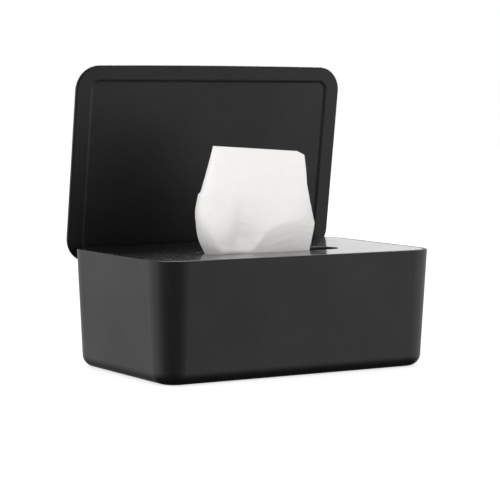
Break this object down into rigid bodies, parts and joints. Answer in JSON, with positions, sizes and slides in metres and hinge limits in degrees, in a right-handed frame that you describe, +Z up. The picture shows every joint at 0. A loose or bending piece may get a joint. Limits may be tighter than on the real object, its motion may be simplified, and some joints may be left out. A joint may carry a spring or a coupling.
{
  "type": "countertop wipes dispenser",
  "caption": "Low rectangular box with rounded corners that dispenses folded wipes through a long slot in its top, under a hinged lid whose inner face is recessed inside a raised border.",
  "frame": {"origin": "centre of the footprint, on the counter under the feet", "axes": "+X to the right along the width, +Y to the back where the lid is hinged, +Z up"},
  "size_m": [0.188, 0.1212, 0.178],
  "materials": {
    "black_plastic": "satin",
    "foot_rubber": "matt",
    "pin_steel": "satin",
    "nonwoven": "soft, embossed"
  },
  "bodies": {
    "tub": {"tub": "black_plastic", "foot_front_left": "foot_rubber", "foot_front_right": "foot_rubber", "foot_back_left": "foot_rubber", "foot_back_right": "foot_rubber", "wipe_pack": "nonwoven"},
    "deck": {"deck": "black_plastic", "hinge_pin_left": "pin_steel", "hinge_pin_right": "pin_steel"},
    "lid": {"lid": "black_plastic"},
    "wipe": {"wipe": "nonwoven"}
  },
  "joints": [
    {"name": "deck_lift", "type": "slide", "parent": "tub", "child": "deck", "axis": [0, 0, 1], "range_m": [0, 0.09]},
    {"name": "lid_hinge", "type": "hinge", "parent": "deck", "child": "lid", "pos_m": [0, 0.0531, 0.0642], "axis": [-1, 0, 0], "range_deg": [-82.5, 15], "deforming": ["wipe"]},
    {"name": "wipe_pull", "type": "slide", "parent": "deck", "child": "wipe", "axis": [0, 0, 1], "range_m": [0, 0.09]}
  ]
}
